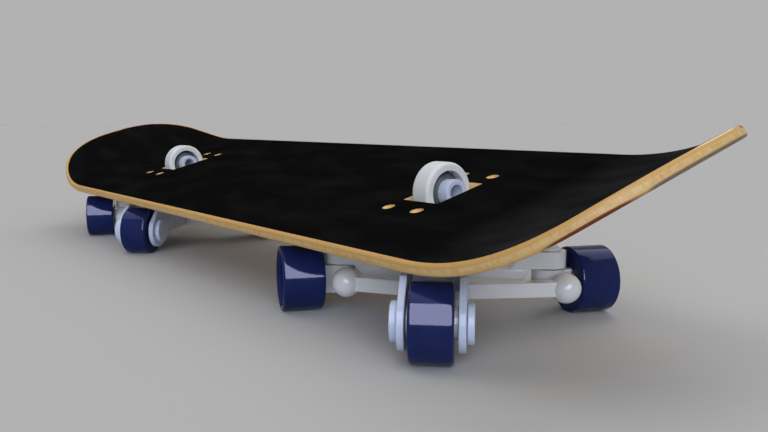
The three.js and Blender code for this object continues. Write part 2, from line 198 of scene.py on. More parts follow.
# makes a finished object of a shape in millimetres, put in its place, that stands for the named nodes
def addPiece(shape, name, body, material, nodes, place=None):
    scale = Matrix.Scale(0.001, 4)
    bmesh.ops.transform(shape, matrix=place @ scale if place else scale, verts=shape.verts)
    for face in shape.faces:
        face.smooth = True
    piece = newObject(name, shape)
    piece.data.set_sharp_from_angle(angle=radians(sharpAngle))
    piece.data.materials.append(material)
    normals = piece.modifiers.new("evenNormals", "WEIGHTED_NORMAL")
    normals.keep_sharp = True
    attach(piece, body)
    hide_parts(*nodes)


# the same for one node of a truck; the piece is named after the node or as asked
def addTruckPiece(shape, truck, node, body, material, place=None, label=None):
    name = truck + "".join(word.capitalize() for word in (label or node).split("_"))
    addPiece(shape, name, body, material, [f"{truck}_{node}"], place)


# a node's own solid, its loose triangles merged and its flat faces made whole, in millimetres
def copiedNode(node):
    shape = bmesh.new()
    shape.from_mesh(frame["nodes"][node].data)
    bmesh.ops.scale(shape, vec=(1000, 1000, 1000), verts=shape.verts)
    bmesh.ops.remove_doubles(shape, verts=shape.verts, dist=2e-3)
    bmesh.ops.dissolve_limit(shape, angle_limit=radians(1), verts=shape.verts, edges=shape.edges)
    return shape


# node groups that more than one finish uses

def newGroup(name, inputs, outputs):
    group = bpy.data.node_groups.new(name, "ShaderNodeTree")
    for label, kind, value in inputs:
        socket = group.interface.new_socket(name=label, in_out="INPUT", socket_type="NodeSocket" + kind)
        if value is not None:
            socket.default_value = value
    for label, kind in outputs:
        group.interface.new_socket(name=label, in_out="OUTPUT", socket_type="NodeSocket" + kind)
    return group, group.nodes.new("NodeGroupInput"), group.nodes.new("NodeGroupOutput")


noiseRange = (0.3, 0.7)  # where most of a noise texture's values lie


# soft clouds between two values, for colour and gloss that vary a little
def makeMottleGroup():
    group, given, made = newGroup(
        "mottle",
        [("Vector", "Vector", None), ("Scale", "Float", 40), ("Detail", "Float", 3),
         ("Low", "Float", 0), ("High", "Float", 1)],
        [("Value", "Float")],
    )
    noise = group.nodes.new("ShaderNodeTexNoise")
    spread = group.nodes.new("ShaderNodeMapRange")
    spread.inputs["From Min"].default_value, spread.inputs["From Max"].default_value = noiseRange
    links = group.links
    for label in ("Vector", "Scale", "Detail"):
        links.new(given.outputs[label], noise.inputs[label])
    links.new(noise.outputs["Fac"], spread.inputs["Value"])
    links.new(given.outputs["Low"], spread.inputs["To Min"])
    links.new(given.outputs["High"], spread.inputs["To Max"])
    links.new(spread.outputs["Result"], made.inputs["Value"])
    return group


# a fine bumpy surface, as moulded plastic, grit or cut metal has
def makePebbleGroup():
    group, given, made = newGroup(
        "pebble",
        [("Vector", "Vector", None), ("Scale", "Float", 1500), ("Strength", "Float", 0.1),
         ("Distance", "Float", 0.0001)],
        [("Normal", "Vector"), ("Height", "Float")],
    )
    noise = group.nodes.new("ShaderNodeTexNoise")
    noise.inputs["Detail"].default_value = 2
    bump = group.nodes.new("ShaderNodeBump")
    links = group.links
    for label, node in (("Vector", noise), ("Scale", noise), ("Strength", bump), ("Distance", bump)):
        links.new(given.outputs[label], node.inputs[label])
    links.new(noise.outputs["Fac"], bump.inputs["Height"])
    links.new(bump.outputs["Normal"], made.inputs["Normal"])
    links.new(noise.outputs["Fac"], made.inputs["Height"])
    return group


mottle = makeMottleGroup()
pebble = makePebbleGroup()


# finishes

def newMaterial(name, values):
    material = bpy.data.materials.new(name)
    material.use_nodes = True
    shader = material.node_tree.nodes["Principled BSDF"]
    for label, value in values.items():
        shader.inputs[label].default_value = value
    return material, material.node_tree, shader


def addGroup(tree, group, vector, values):
    node = tree.nodes.new("ShaderNodeGroup")
    node.node_tree = group
    for label, value in values.items():
        node.inputs[label].default_value = value
    tree.links.new(vector, node.inputs["Vector"])
    return node


# goes from one colour to another between two stops
def addRamp(tree, value, stops, first, last):
    ramp = tree.nodes.new("ShaderNodeValToRGB")
    for element, stop, colour in zip(ramp.color_ramp.elements, stops, (first, last)):
        element.position = stop
        element.color = (*colour, 1)
    tree.links.new(value, ramp.inputs["Fac"])
    return ramp.outputs["Color"]


def addMix(tree, factor, first, second, blend="MIX"):
    mix = tree.nodes.new("ShaderNodeMix")
    mix.data_type = "RGBA"
    mix.blend_type = blend
    for socket, value in zip((mix.inputs[0], mix.inputs[6], mix.inputs[7]), (factor, first, second)):
        if isinstance(value, bpy.types.NodeSocket):
            tree.links.new(value, socket)
        else:
            socket.default_value = value
    return mix.outputs[2]


def objectPlace(tree):
    return tree.nodes.new("ShaderNodeTexCoord").outputs["Object"]


def stretched(tree, vector, scale):
    mapping = tree.nodes.new("ShaderNodeMapping")
    mapping.inputs["Scale"].default_value = scale
    tree.links.new(vector, mapping.inputs["Vector"])
    return mapping.outputs["Vector"]


# a roughness that varies a little over the surface
def addGloss(tree, shader, place, look):
    gloss = addGroup(tree, mottle, place, {
        "Scale": look["glossScale"], "Low": look["smooth"], "High": look["rough"],
    })
    tree.links.new(gloss.outputs["Value"], shader.inputs["Roughness"])


# where a point of the deck was before its ends were bent up
def flatPlace(tree):
    attribute = tree.nodes.new("ShaderNodeAttribute")
    attribute.attribute_name = "flatPlace"
    return attribute.outputs["Vector"]


# one inside a box of the given vector range and nothing outside it, fading in over a distance
def makePatchGroup():
    group, given, made = newGroup(
        "patch",
        [("Vector", "Vector", None), ("Low", "Vector", (0, 0, 0)), ("High", "Vector", (1, 1, 1)),
         ("Fade", "Vector", (1, 1, 1))],
        [("Value", "Float")],
    )
    links = group.links

    def vectorStep(operation, first, second):
        node = group.nodes.new("ShaderNodeVectorMath")
        node.operation = operation
        links.new(first, node.inputs[0])
        links.new(second, node.inputs[1])
        return node.outputs["Vector"]

    pastLow = vectorStep("SUBTRACT", given.outputs["Vector"], given.outputs["Low"])
    beforeHigh = vectorStep("SUBTRACT", given.outputs["High"], given.outputs["Vector"])
    depth = vectorStep("DIVIDE", vectorStep("MINIMUM", pastLow, beforeHigh), given.outputs["Fade"])
    axes = group.nodes.new("ShaderNodeSeparateXYZ")
    links.new(depth, axes.inputs["Vector"])
    product = None
    for label in ("X", "Y", "Z"):
        kept = group.nodes.new("ShaderNodeClamp")
        links.new(axes.outputs[label], kept.inputs["Value"])
        if product is None:
            product = kept.outputs["Result"]
            continue
        times = group.nodes.new("ShaderNodeMath")
        times.operation = "MULTIPLY"
        links.new(product, times.inputs[0])
        links.new(kept.outputs["Result"], times.inputs[1])
        product = times.outputs["Value"]
    links.new(product, made.inputs["Value"])
    return group


patch = makePatchGroup()


# one inside the box between two corners, fading in over a distance
def addPatch(tree, place, low, high, fade):
    return addGroup(tree, patch, place, {"Low": low, "High": high, "Fade": fade}).outputs["Value"]


def grey(value):
    return (value, value, value)


# colours, and how often grain, blocks, ticks and figure repeat along, across and through the deck
mapleLook = {
    "pale": (0.605, 0.395, 0.167), "mid": (0.53, 0.325, 0.12), "warm": (0.59, 0.345, 0.116),
    "block": (0.645, 0.452, 0.218), "fleck": (0.40, 0.20, 0.07),
    "grain": (6, 90, 160), "blocks": (340, 340, 120), "ticks": (1300, 1300, 130), "figure": (45, 45, 500),
    "blockAmount": 0.8, "tickAmount": 0.34, "figureAmount": 0.3, "markAmount": 0.95,
    "smooth": 0.3, "rough": 0.42, "glossScale": 60, "shine": 0.03,
    "pores": (0.15, 1, 1), "poreScale": 2200, "poreDepth": 0.12,
    "grainStops": (0, 0.6), "blockStops": (0.42, 0.5), "tickStops": (0, 0.34), "markStops": (0.1, 0.45),
}
# where the plies meet, in metres from the deck's axis
plyRange = {"warmLow": -0.0023, "paleLow": -0.0047, "fade": 0.0002}
# stains and painted light: low and high corners, and how softly each starts, in metres; the fourth is painted
# shade on the lower round-over of the tail's tip, the fifth a painted highlight along its top edge
stainsAndPaintedLight = [
    {"low": (0.358, -0.2, -0.009), "high": (0.397, 0, -0.0048), "fade": (0.014, 0.001, 0.0014),
     "colour": (0.13, 0.022, 0.011)},
    {"low": (0.38, 0.037, -0.0022), "high": (0.404, 0.055, 0.001), "fade": (0.002, 0.003, 0.0004),
     "colour": (0.32, 0.07, 0.03)},
    {"low": (-0.42, 0.004, -0.0024), "high": (-0.38, 0.05, 0.001), "fade": (0.004, 0.008, 0.0005),
     "colour": (0.3, 0.07, 0.03)},
    # painted shade: the lower round-over of the tail's tip painted dark grey-brown
    {"low": (0.394, -0.06, -0.009), "high": (0.42, 0.08, -0.005), "fade": (0.004, 0.03, 0.0014),
     "colour": (0.17, 0.13, 0.095)},
    # painted highlight: a pale line painted along the top edge of the tail's tip
    {"low": (0.386, -0.012, -0.001), "high": (0.42, 0.034, 0.002), "fade": (0.004, 0.014, 0.0006),
     "colour": (0.86, 0.68, 0.45)},
]
# wood where the screw holes and the slots are cut, in metres from the middle of each truck: a darker tone
# round the screw holes, and painted light on the slots' walls, much brighter than the maple
cuts = [
    {"halfX": 0.0195, "halfY": 0.0405, "colour": (0.50, 0.30, 0.105)},
    # the slots' walls: painted light, much brighter than the maple
    {"halfX": 0.0174, "halfY": 0.0214, "colour": (0.98, 0.64, 0.29)},
]
cutRange = {"halfSpacing": 0.21, "floor": -0.0065, "fade": 0.0001}


def makeMaple():
    look = mapleLook
    material, tree, shader = newMaterial("maple", {"Specular IOR Level": look["shine"]})
    place = flatPlace(tree)
    grain = addGroup(tree, mottle, stretched(tree, place, look["grain"]), {"Scale": 3, "Detail": 4})
    wood = addRamp(tree, grain.outputs["Value"], look["grainStops"], look["mid"], look["pale"])
    # the upper ply is warmer, the middle one shows pale blocks
    fade = grey(plyRange["fade"])
    upper = addPatch(tree, place, (-1, -1, plyRange["warmLow"]), (1, 1, 1), fade)
    colour = addMix(tree, upper, wood, (*look["warm"], 1))
    middle = addPatch(tree, place, (-1, -1, plyRange["paleLow"]), (1, 1, plyRange["warmLow"]), fade)
    blocks = addGroup(tree, mottle, stretched(tree, place, look["blocks"]), {"Scale": 1, "Detail": 0})
    steps = addRamp(tree, blocks.outputs["Value"], look["blockStops"], grey(0), grey(look["blockAmount"]))
    pale = addMix(tree, 1, steps, middle, "MULTIPLY")
    colour = addMix(tree, pale, colour, (*look["block"], 1))
    # short faint ticks across the edge, and longer darker figure along it
    ticks = addGroup(tree, mottle, stretched(tree, place, look["ticks"]), {"Scale": 1, "Detail": 2})
    marks = addRamp(tree, ticks.outputs["Value"], look["tickStops"], grey(look["tickAmount"]), grey(0))
    colour = addMix(tree, marks, colour, (*look["fleck"], 1))
    streaks = stretched(tree, place, look["figure"])
    figure = addGroup(tree, mottle, streaks, {"Scale": 1, "High": look["figureAmount"]})
    colour = addMix(tree, figure.outputs["Value"], colour, (*look["mid"], 1))
    # red stains, then painted shade and a painted highlight on the tail's tip, each mixed over the wood
    for colourMark in stainsAndPaintedLight:
        inside = addPatch(tree, place, colourMark["low"], colourMark["high"], colourMark["fade"])
        markWeight = addRamp(tree, inside, look["markStops"], grey(0), grey(look["markAmount"]))
        colour = addMix(tree, markWeight, colour, (*colourMark["colour"], 1))
    # a darker tone round the screw holes, then painted light on the slots' walls
    for cut in cuts:
        for x in (-cutRange["halfSpacing"], cutRange["halfSpacing"]):
            low = (x - cut["halfX"], -cut["halfY"], cutRange["floor"])
            inside = addPatch(tree, place, low, (x + cut["halfX"], cut["halfY"], 1), grey(cutRange["fade"]))
            colour = addMix(tree, inside, colour, (*cut["colour"], 1))
    tree.links.new(colour, shader.inputs["Base Color"])
    addGloss(tree, shader, place, look)
    pores = stretched(tree, place, look["pores"])
    bump = addGroup(tree, pebble, pores, {"Scale": look["poreScale"], "Strength": look["poreDepth"]})
    tree.links.new(bump.outputs["Normal"], shader.inputs["Normal"])
    return material


# colours as they are rendered, with a painted sheen on the tail's kick, and how fine clouds, sheen streaks
# and grit are
gripLook = {
    "dark": (0.0042, 0.0042, 0.0043), "light": (0.0078, 0.0078, 0.0078), "dusty": (0.029, 0.029, 0.0295),
    "glint": (0.02, 0.02, 0.0205), "clouds": (1, 2.2, 1), "cloudScale": 16, "sheenStreaks": (0.7, 1.6, 1),
    "sheenScale": 20, "grit": 3800, "gritDepth": 0.5, "gritDistance": 0.0002, "glints": 0.2, "rough": 0.85,
    "sheenRange": (0.3, 0.95), "cloudStops": (0.35, 1), "sheenStops": (0.15, 1), "glintStops": (0.62, 0.85),
}
# where the painted sheen lies, on the tail's kick
sheenOnKick = {"low": (0.28, -0.2, -1), "high": (0.45, 0.2, 1), "fade": (0.05, 0.05, 1)}


def makeGrip():
    look = gripLook
    material, tree, shader = newMaterial("gripTape", {"Roughness": look["rough"], "Specular IOR Level": 0})
    place = flatPlace(tree)
    cloudPlace = stretched(tree, place, look["clouds"])
    clouds = addGroup(tree, mottle, cloudPlace, {"Scale": look["cloudScale"], "Detail": 5})
    colour = addRamp(tree, clouds.outputs["Value"], look["cloudStops"], look["dark"], look["light"])
    # painted sheen: the tail's kick is painted lighter in soft streaks
    kick = addPatch(tree, place, sheenOnKick["low"], sheenOnKick["high"], sheenOnKick["fade"])
    sheenPlace = stretched(tree, place, look["sheenStreaks"])
    sheenStreaks = addGroup(tree, mottle, sheenPlace, {"Scale": look["sheenScale"], "Detail": 3})
    weakest, strongest = look["sheenRange"]
    sheen = addRamp(tree, sheenStreaks.outputs["Value"], look["sheenStops"], grey(weakest), grey(strongest))
    amount = addMix(tree, 1, sheen, kick, "MULTIPLY")
    colour = addMix(tree, amount, colour, (*look["dusty"], 1))
    grit = addGroup(tree, pebble, place, {
        "Scale": look["grit"], "Strength": look["gritDepth"], "Distance": look["gritDistance"],
    })
    sparkle = addRamp(tree, grit.outputs["Height"], look["glintStops"], grey(0), grey(look["glints"]))
    glint = addMix(tree, sparkle, colour, (*look["glint"], 1))
    tree.links.new(glint, shader.inputs["Base Color"])
    tree.links.new(grit.outputs["Normal"], shader.inputs["Normal"])
    return material


mouldedSkin = {"cloudScale": 55, "glossScale": 120, "skinScale": 2600, "skinDepth": 0.06}
plasticLook = {
    "dark": (0.675, 0.678, 0.685), "light": (0.715, 0.718, 0.725), "smooth": 0.07, "rough": 0.11,
    "shader": {"Specular IOR Level": 0.14}, **mouldedSkin,
}
# the white plastic made rougher for the lean ring, and painted a little darker as painted shade
satinShadedPlasticLook = {
    "dark": (0.65, 0.645, 0.64), "light": (0.685, 0.685, 0.685), "smooth": 0.42, "rough": 0.5,
    "shader": {"Specular IOR Level": 0.05}, **mouldedSkin,
}
# the white plastic again, painted darker and bluish as painted light from the bluish window, for the fork,
# its axle, cap and bridge, and the lean hub
bluishLitPlasticLook = {
    "dark": (0.475, 0.525, 0.66), "light": (0.51, 0.56, 0.70), "smooth": 0.22, "rough": 0.32,
    "shader": {"Specular IOR Level": 0.07}, **mouldedSkin,
}
urethaneLook = {
    "dark": (0.008, 0.014, 0.072), "light": (0.011, 0.018, 0.084), "smooth": 0.06, "rough": 0.1,
    "shader": {"Specular IOR Level": 0.12}, "cloudScale": 45, "glossScale": 90,
}
steelLook = {
    "dark": (0.5, 0.5, 0.51), "light": (0.62, 0.62, 0.63), "smooth": 0.22, "rough": 0.38,
    "shader": {"Metallic": 1}, "cloudScale": 150, "glossScale": 300, "skinScale": 4000, "skinDepth": 0.05,
}


plainStops = (0.2, 0.8)


# a plain finish, whose colour and gloss vary a little over the surface
def makeFinish(name, look):
    material, tree, shader = newMaterial(name, look["shader"])
    place = objectPlace(tree)
    clouds = addGroup(tree, mottle, place, {"Scale": look["cloudScale"]})
    colour = addRamp(tree, clouds.outputs["Value"], plainStops, look["dark"], look["light"])
    tree.links.new(colour, shader.inputs["Base Color"])
    addGloss(tree, shader, place, look)
    if "skinScale" in look:
        skin = addGroup(tree, pebble, place, {"Scale": look["skinScale"], "Strength": look["skinDepth"]})
        tree.links.new(skin.outputs["Normal"], shader.inputs["Normal"])
    return material


sealLook = {
    "dark": (0.07, 0.073, 0.078), "light": (0.1, 0.103, 0.11), "smooth": 0.5, "rough": 0.65,
    "cloudScale": 200, "shine": 0.06,
}


# rubber that is duller where it is paler
def makeSeal():
    look = sealLook
    material, tree, shader = newMaterial("rubberSeal", {"Specular IOR Level": look["shine"]})
    clouds = addGroup(tree, mottle, objectPlace(tree), {
        "Scale": look["cloudScale"], "Low": look["smooth"], "High": look["rough"],
    })
    tree.links.new(clouds.outputs["Value"], shader.inputs["Roughness"])
    stops = (look["smooth"], look["rough"])
    tint = addRamp(tree, clouds.outputs["Value"], stops, look["dark"], look["light"])
    tree.links.new(tint, shader.inputs["Base Color"])
    return material


maple = makeMaple()
gripTape = makeGrip()
plastic = makeFinish("whitePlastic", plasticLook)
# white plastic with painted shade, a little darker, for the lean ring
satinShadedPlastic = makeFinish("satinWhitePlasticPaintedShade", satinShadedPlasticLook)
# white plastic with the bluish window light painted into its colour
bluishLitPlastic = makeFinish("whitePlasticPaintedBluishLight", bluishLitPlasticLook)
urethane = makeFinish("navyUrethane", urethaneLook)
steel = makeFinish("steel", steelLook)
seal = makeSeal()
print("finishes made")


# deck and grip tape, made flat and then bent up at both ends

deckSizes = {
    "halfWidth": 97.75, "top": -0.1, "thickness": 6.7, "halfSpacing": 210, "ease": 0.12,
    "gripInset": 3.2, "gripTipInset": 3, "gripThickness": 0.4, "slotX": 17.2, "slotY": 21.2,
    "holeX": 14, "holeY": 35, "holeOffset": -1.4, "holeRadius": 4.6, "holeDepth": 2.8, "shank": 2.6,
    "roundTop": 1.7, "roundBottom": 1.5, "curveSteps": 36, "bendStep": 6, "gripGap": 0.02, "cutReach": 20,
    "near": 0.01,
}
deckEnds = {
    1: {"start": 61.2, "tip": 194.2, "fullness": 2.464, "bendStart": 72.6, "radius": 174, "kick": 31},
    -1: {"start": 78, "tip": 200.1, "fullness": 2.428, "bendStart": 73.6, "radius": 174.3, "kick": 23.4},
}


def deckOutline(inset, tipInset=0):
    steps = deckSizes["curveSteps"]
    halfWidth = deckSizes["halfWidth"] - inset
    outline = []
    for side, end in deckEnds.items():
        reach = end["tip"] - inset - end["start"] - (tipInset if side > 0 else 0)
        quarter = []
        for step in range(steps + 1):
            turn = pi / 2 * step / steps
            along = sin(turn) ** (2 / end["fullness"])
            across = max(0, cos(turn)) ** (2 / end["fullness"])
            x = deckSizes["halfSpacing"] + end["start"] + reach * along
            quarter.append((side * x, halfWidth * across))
        quarter[-1] = (quarter[-1][0], 0)
        back = [(x, -y) for x, y in reversed(quarter[:-1])]
        outline += [(x, side * -y) for x, y in quarter + back]
    return outline


# where a point of the flat deck lands once its end is kicked up
def bent(place):
    side = 1 if place.x > 0 else -1
    end = deckEnds[side]
    along = abs(place.x) - deckSizes["halfSpacing"]
    past = along - end["bendStart"]
    if past <= 0:
        return place.copy()
    sweep = radians(end["kick"])
    turn = min(past / end["radius"], sweep)
    straight = past - turn * end["radius"]
    inner = end["radius"] - place.z
    x = end["bendStart"] + inner * sin(turn) + straight * cos(turn)
    z = end["radius"] - inner * cos(turn) + straight * sin(turn)
    return Vector((side * (deckSizes["halfSpacing"] + x), place.y, z))


def bendEnds(shape):
    step = deckSizes["bendStep"]
    for side, end in deckEnds.items():
        x = deckSizes["halfSpacing"] + end["bendStart"]
        last = x + end["radius"] * radians(end["kick"]) + step
        while x < last:
            everything = shape.verts[:] + shape.edges[:] + shape.faces[:]
            bmesh.ops.bisect_plane(
                shape, geom=everything, dist=1e-4, plane_co=(side * x, 0, 0), plane_no=(1, 0, 0),
            )
            x += step
    flat = shape.verts.layers.float_vector.new("flatPlace")
    for vert in shape.verts:
        vert[flat] = vert.co / 1000
        vert.co = bent(vert.co)
    return shape


def holeCenters():
    holeX, holeY = deckSizes["holeX"], deckSizes["holeY"]
    middles = [side * deckSizes["halfSpacing"] + deckSizes["holeOffset"] for side in (1, -1)]
    return [(middle + x * holeX, y * holeY) for middle in middles for x in (1, -1) for y in (1, -1)]


def deckCutters():
    seat = deckSizes["top"] + deckSizes["gripThickness"] - deckSizes["holeDepth"]
    cone = deckSizes["holeRadius"] - deckSizes["shank"]
    reach = deckSizes["cutReach"]
    cutters = []
    for side in (1, -1):
        x = side * deckSizes["halfSpacing"]
        low = (x - deckSizes["slotX"], -deckSizes["slotY"], -reach)
        cutters.append(block(low, (x + deckSizes["slotX"], deckSizes["slotY"], reach)))
    for x, y in holeCenters():
        hole = turned([
            (0, -reach), (deckSizes["shank"], -reach), (deckSizes["shank"], seat - cone),
            (deckSizes["holeRadius"], seat), (deckSizes["holeRadius"], reach), (0, reach),
        ], steps=40)
        cutters.append(laid(hole, Matrix.Translation((x, y, 0))))
    return cutters


def makeDeck():
    top = deckSizes["top"]
    bottom = top - deckSizes["thickness"]
    near = deckSizes["near"]
    wood = slab(deckOutline(deckSizes["ease"]), bottom, top)
    soften(wood, deckSizes["roundTop"], segments=5, where=lambda middle: middle.z > top - near)
    soften(wood, deckSizes["roundBottom"], segments=5, where=lambda middle: middle.z < bottom + near)
    wood = carved(wood, *deckCutters())
    bendEnds(wood)
    addPiece(wood, "deckWood", "deck", maple, ["deck"], deckPlace())

    outline = deckOutline(deckSizes["gripInset"], deckSizes["gripTipInset"])
    tape = slab(outline, top + deckSizes["gripGap"], top + deckSizes["gripThickness"])
    tape = carved(tape, *deckCutters())
    bendEnds(tape)
    addPiece(tape, "deckGrip", "deck", gripTape, ["grip_tape"], deckPlace())


makeDeck()
print("deck made")


# lean joint: the ring in the deck's slot, the hub that it turns on, and what holds the hub

leanSizes = {
    "offset": -1.4, "ringRadius": 19.9, "ringHalf": 7.8, "bore": 14.2, "ringEdge": 2.4, "boreEdge": 0.7,
    "hubRadius": 9, "hubBore": 5.4, "hubHalf": 14.7, "hubEdge": 0.6,
    "stemHalf": 11, "stemTop": 63.3, "stemInset": 0.4, "stemSink": 1, "stemEdge": 0.8,
    "flangeRadius": 19, "flangeLow": 47, "flangeHigh": 52.5, "flangeEdge": 0.7,
    "thread": 5.1, "threadLow": 40, "threadHigh": 58.3,
    "race": 0.6, "bearingHalf": 6.6, "sealDip": 5.2, "sealEdge": 0.25, "fit": 0.3, "plateEdge": 0.5,
}


def makeHousing(truck):
    size = leanSizes
    halfWay = (size["ringRadius"] + size["bore"]) / 2
    ring = tube(size["ringRadius"], size["bore"], -size["ringHalf"], size["ringHalf"], steps=112)
    soften(ring, size["ringEdge"], segments=6, where=lambda middle: middle.xy.length > halfWay)
    soften(ring, size["boreEdge"], segments=4, angle=60, where=lambda middle: middle.xy.length < halfWay)
    laid(ring, Matrix.Translation((size["offset"], 0, stance["axisHeight"])) @ alongX)
    stemX = size["ringHalf"] - size["stemInset"]
    stem = block(
        (size["offset"] - stemX, -size["stemHalf"], size["flangeHigh"] - size["stemSink"]),
        (size["offset"] + stemX, size["stemHalf"], size["stemTop"]),
    )
    soften(stem, size["stemEdge"])
    flange = rod(size["flangeRadius"], size["flangeLow"], size["flangeHigh"], steps=96)
    soften(flange, size["flangeEdge"])
    thread = rod(size["thread"], size["threadLow"], size["threadHigh"])
    housing = carved(joined(ring, stem, flange), thread)
    addTruckPiece(
        housing, truck, "lean_housing", truck + "_cradle", satinShadedPlastic, truckFloor(truck),
        label="lean_ring",
    )


def makeLeanBearing(truck):
    size = leanSizes
    outer, inner, half = size["bore"] - size["fit"], size["hubRadius"] + size["fit"], size["bearingHalf"]
    race, low = inner + size["race"], half - size["sealDip"]
    profile = [(inner, -half), (race, -half), (outer, -low), (outer, low), (race, half), (inner, half)]
    bearing = soften(turned(profile, steps=80, closed=True), size["sealEdge"], segments=2, angle=20)
    place = Matrix.Translation(spot(truck + "_lean")) @ moved(size["offset"], 0, 0) @ alongX
    addTruckPiece(bearing, truck, "lean_bearing", truck + "_cradle", seal, place)


def makeHub(truck):
    size = leanSizes
    hub = tube(size["hubRadius"], size["hubBore"], -size["hubHalf"], size["hubHalf"], steps=80)
    soften(hub, size["hubEdge"], segments=4)
    place = hubPlace(truck) @ moved(size["offset"], 0, 0) @ alongX
    addTruckPiece(hub, truck, "lean_hub", "deck", bluishLitPlastic, place)


def makeBaseplate(truck):
    plate = soften(copiedNode(truck + "_baseplate"), leanSizes["plateEdge"], segments=2, angle=50)
    addTruckPiece(plate, truck, "baseplate", "deck", plastic)


screwSizes = {
    "head": 4.3, "shank": 2.3, "sunk": 3.1, "rim": 0.2, "chamfer": 0.3, "socket": 1.9, "socketDepth": 1.7,
    "end": -10.4,
}


def makeScrews(truck):
    size = screwSizes
    seat = deckSizes["top"] + deckSizes["gripThickness"] - size["sunk"]
    number = 0
    for x in (-1, 1):
        for y in (-1, 1):
            number += 1
            screw = turned([
                (0, size["end"]), (size["shank"], size["end"]),
                (size["shank"], seat - size["head"] + size["shank"]), (size["head"], seat - size["rim"]),
                (size["head"] - size["chamfer"], seat), (0, seat),
            ], steps=40)
            socket = bmesh.new()
            bmesh.ops.create_cone(
                socket, cap_ends=True, segments=6, radius1=size["socket"], radius2=size["socket"],
                depth=2 * size["socketDepth"],
            )
            screw = carved(screw, laid(socket, Matrix.Translation((0, 0, seat))))
            middle = moved(deckSizes["holeOffset"] + x * deckSizes["holeX"], y * deckSizes["holeY"], 0)
            place = hubPlace(truck) @ middle
            addTruckPiece(screw, truck, f"deck_screw_{number}", "deck", steel, place)


# swivel joint

swivelSizes = {
    "bore": 5.1, "sleeve": 8.3, "low": 23.8, "step": 43.7, "high": 46.7, "flange": 13.2, "groove": 1.2,
    "bearingEdge": 0.2, "bolt": 4.8, "boltLow": 20, "boltTop": 58,
    "head": 8.8, "headLow": 15, "headHigh": 22.8, "headEdge": 0.5,
}


def makeSwivel(truck):
    size = swivelSizes
    third = (size["high"] - size["step"]) / 3
    bearing = turned([
        (size["bore"], size["low"]), (size["sleeve"], size["low"]), (size["sleeve"], size["step"]),
        (size["flange"], size["step"]), (size["flange"], size["step"] + third),
        (size["flange"] - size["groove"], size["step"] + third),
        (size["flange"] - size["groove"], size["high"] - third), (size["flange"], size["high"] - third),
        (size["flange"], size["high"]), (size["bore"], size["high"]),
    ], steps=72, closed=True)
    soften(bearing, size["bearingEdge"], segments=2)
    addTruckPiece(bearing, truck, "swivel_bearing", truck + "_truck", steel, turnedPlace(truck))
    head = bmesh.new()
    bmesh.ops.create_cone(
        head, cap_ends=True, segments=6, radius1=size["head"], radius2=size["head"],
        depth=size["headHigh"] - size["headLow"],
    )
    laid(head, Matrix.Translation((0, 0, (size["headLow"] + size["headHigh"]) / 2)))
    soften(head, size["headEdge"], segments=2)
    bolt = joined(head, rod(size["bolt"], size["boltLow"], size["boltTop"]))
    addTruckPiece(
        bolt, truck, "swivel_spindle", truck + "_cradle", steel, truckFloor(truck),
        label="swivel_bolt",
    )


# beam, kingpins, knuckles and tie rod

beamSizes = {
    "half": 11, "reach": 81.2, "armLow": 31.2, "armTop": 42.4, "midLow": 23.8, "midTop": 31,
    "lowTurn": 52.4, "topTurn": 44.7, "slope": 0.73, "endRound": 10.9, "edge": 0.5,
    "post": 15.5, "postTop": 43.4, "postEdge": 0.6, "mountHalf": 24, "mountLift": 0.3,
    "bore": 8.6, "pinHole": 4.3, "slotInner": 13.5, "slotOuter": 18.25, "slotSeat": 32.87,
    "cutTop": 60, "cutSide": 30, "pinHoleLow": 20, "near": 0.1,
}
kingpinReach = 70.2


def makeBeam(truck):
    size = beamSizes
    right = [
        (size["lowTurn"], size["midLow"]),
        (size["lowTurn"] + size["slope"] * (size["armLow"] - size["midLow"]), size["armLow"]),
        (size["reach"], size["armLow"]),
        (size["reach"], size["armTop"]),
        (size["topTurn"] + size["slope"] * (size["armTop"] - size["midTop"]), size["armTop"]),
        (size["topTurn"], size["midTop"]),
    ]
    outline = right + [(-y, z) for y, z in reversed(right)]
    bar = slab(outline, -size["half"], size["half"])
    endX, endZ = size["reach"] - size["near"], size["half"] - size["near"]
    soften(
        bar, size["endRound"], segments=14,
        where=lambda middle: abs(middle.x) > endX and abs(middle.z) > endZ,
    )
    soften(bar, size["edge"], segments=2, angle=25)
    upright = Matrix(((0, 0, 1, 0), (1, 0, 0, 0), (0, 1, 0, 0), (0, 0, 0, 1)))
    laid(bar, upright)
    post = soften(rod(size["post"], size["midLow"], size["postTop"], steps=72), size["postEdge"])
    low = (-size["half"], -size["mountHalf"], size["midLow"] + size["mountLift"])
    mount = block(low, (size["half"], size["mountHalf"], size["postTop"]))
    soften(mount, size["edge"], segments=2)
    beam = joined(bar, post, mount)
    cutters = [rod(size["bore"], 0, size["cutTop"])]
    for side in (-1, 1):
        pinHole = rod(size["pinHole"], size["pinHoleLow"], size["cutTop"])
        cutters.append(laid(pinHole, Matrix.Translation((0, side * kingpinReach, 0))))
        near, far = sorted((side * size["slotInner"], side * size["slotOuter"]))
        slotLow = (-size["cutSide"], near, size["slotSeat"])
        cutters.append(block(slotLow, (size["cutSide"], far, size["cutTop"])))
    beam = carved(beam, *cutters)
    addTruckPiece(beam, truck, "beam", truck + "_truck", plastic, turnedPlace(truck))


kingpinSizes = {
    "pin": 4, "low": 13.8, "seat": 42.7, "head": 7.4, "crown": 3.2, "rim": 0.6, "rise": 5, "edge": 0.4,
    "near": 0.1,
}


